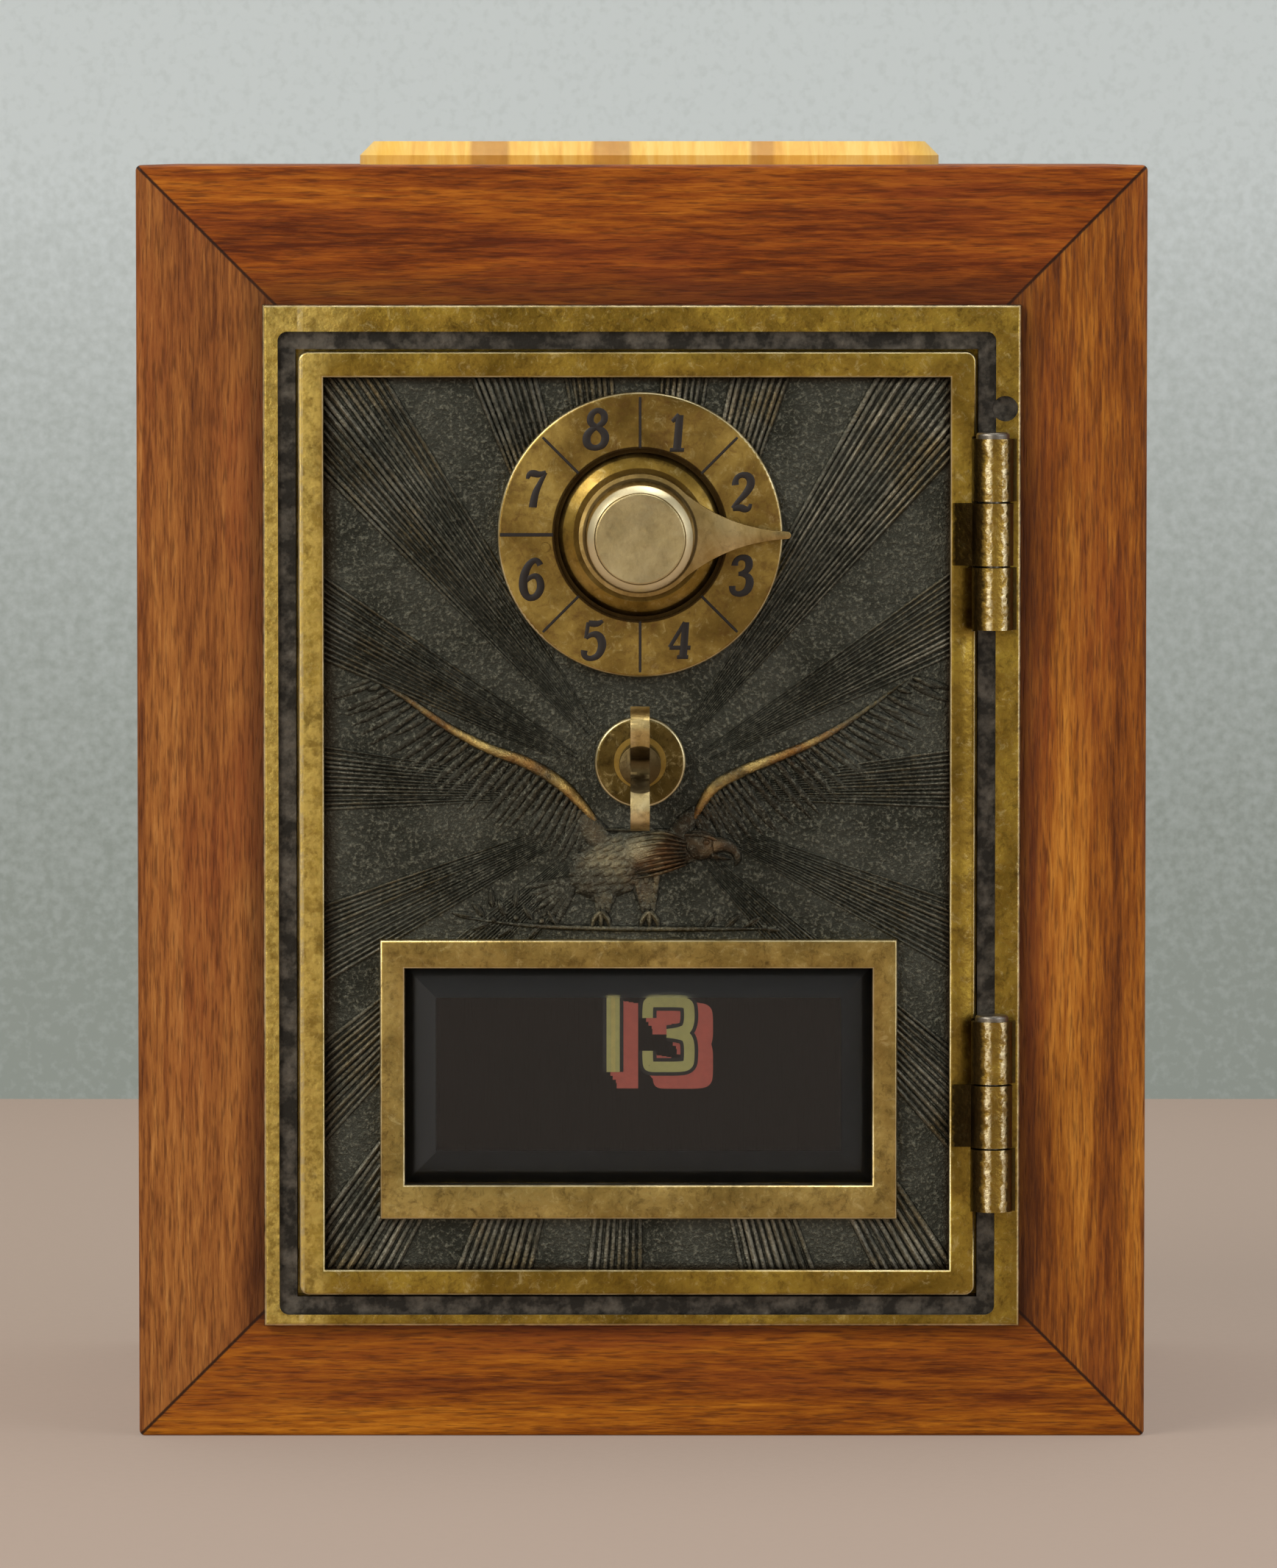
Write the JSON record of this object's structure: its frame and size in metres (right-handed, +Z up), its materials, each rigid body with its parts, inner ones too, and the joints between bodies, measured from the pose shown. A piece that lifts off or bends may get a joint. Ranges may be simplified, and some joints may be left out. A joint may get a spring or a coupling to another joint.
{
  "type": "post office box door bank",
  "caption": "Walnut case with a cast brass post office box door: hinged door, combination dial with pointer knob, turn latch, bevelled window and a coin slot on top.",
  "frame": {"origin": "centre of the case's bottom face, where it stands", "axes": "+Z up, -Y out of the door's front, +X to the right as seen from the front"},
  "size_m": [0.127, 0.1207, 0.1634],
  "materials": {
    "walnut": "oiled walnut, satin",
    "walnut_panel": "oiled walnut ply, matt",
    "maple": "laminated maple and walnut, satin lacquer",
    "frame_brass": "cast brass, aged and rubbed",
    "door_brass": "cast brass, bright on the raised parts and dark in the field",
    "dial_brass": "turned brass, worn bright",
    "knob_brass": "turned brass, rubbed",
    "lock_brass": "machined brass, dull",
    "hinge_pin_steel": "drawn steel rod, dull",
    "steel": "turned steel, dull",
    "glass": "bevelled plate glass, painted number on its back"
  },
  "bodies": {
    "case": {"case_top_board": "walnut", "case_bottom_board": "walnut", "case_left_board": "walnut", "case_right_board": "walnut", "back_panel": "walnut_panel", "back_screws": "steel", "coin_plate": "maple", "door_frame": "frame_brass", "frame_screws": "steel", "hinge_pin_upper": "hinge_pin_steel", "hinge_pin_lower": "hinge_pin_steel"},
    "door": {"door": "door_brass", "dial_plate": "dial_brass", "dial_rivets": "dial_brass", "dial_bush": "knob_brass", "bush_nut": "lock_brass", "latch_rose": "dial_brass", "latch_bush": "lock_brass", "window_glass": "glass", "glass_retainer": "lock_brass", "retainer_screws": "steel", "bolt_guides": "lock_brass", "guide_screws": "steel", "lock_cover": "lock_brass", "cover_posts": "lock_brass", "cover_screws": "steel"},
    "dial": {"pointer_knob": "knob_brass", "knob_cap": "dial_brass", "dial_spindle": "steel", "drive_cam": "lock_brass", "spindle_clip": "steel", "wheel_spacers": "lock_brass"},
    "wheel_1": {"combination_wheel_1": "lock_brass"},
    "wheel_2": {"combination_wheel_2": "lock_brass"},
    "wheel_3": {"combination_wheel_3": "lock_brass"},
    "latch": {"thumb_turn": "knob_brass", "latch_spindle": "steel", "latch_cam": "lock_brass", "crank_pin": "steel"},
    "bolt": {"latch_bolt": "lock_brass"}
  },
  "joints": [
    {"name": "door_swing", "type": "hinge", "parent": "case", "child": "door", "pos_m": [0.044, -0.0546, 0.0776], "axis": [0, 0, 1], "range_deg": [0, 165]},
    {"name": "dial_turn", "type": "hinge", "parent": "door", "child": "dial", "pos_m": [-0.0002, -0.0475, 0.1141], "axis": [0, 1, 0], "continuous": true},
    {"name": "wheel_1_turn", "type": "hinge", "parent": "door", "child": "wheel_1", "pos_m": [-0.0002, -0.0475, 0.1141], "axis": [0, 1, 0], "continuous": true},
    {"name": "wheel_2_turn", "type": "hinge", "parent": "door", "child": "wheel_2", "pos_m": [-0.0002, -0.0475, 0.1141], "axis": [0, 1, 0], "continuous": true},
    {"name": "wheel_3_turn", "type": "hinge", "parent": "door", "child": "wheel_3", "pos_m": [-0.0002, -0.0475, 0.1141], "axis": [0, 1, 0], "continuous": true},
    {"name": "latch_turn", "type": "hinge", "parent": "door", "child": "latch", "pos_m": [-0.0002, -0.0475, 0.0855], "axis": [0, 1, 0], "range_deg": [0, 90]},
    {"name": "bolt_slide", "type": "slide", "parent": "door", "child": "bolt", "axis": [-1, 0, 0], "range_m": [0, 0.0042]}
  ],
  "couplings": [
    {"joint": "bolt_slide", "follows": "latch_turn", "m_per_rad": 0.0026109}
  ]
}
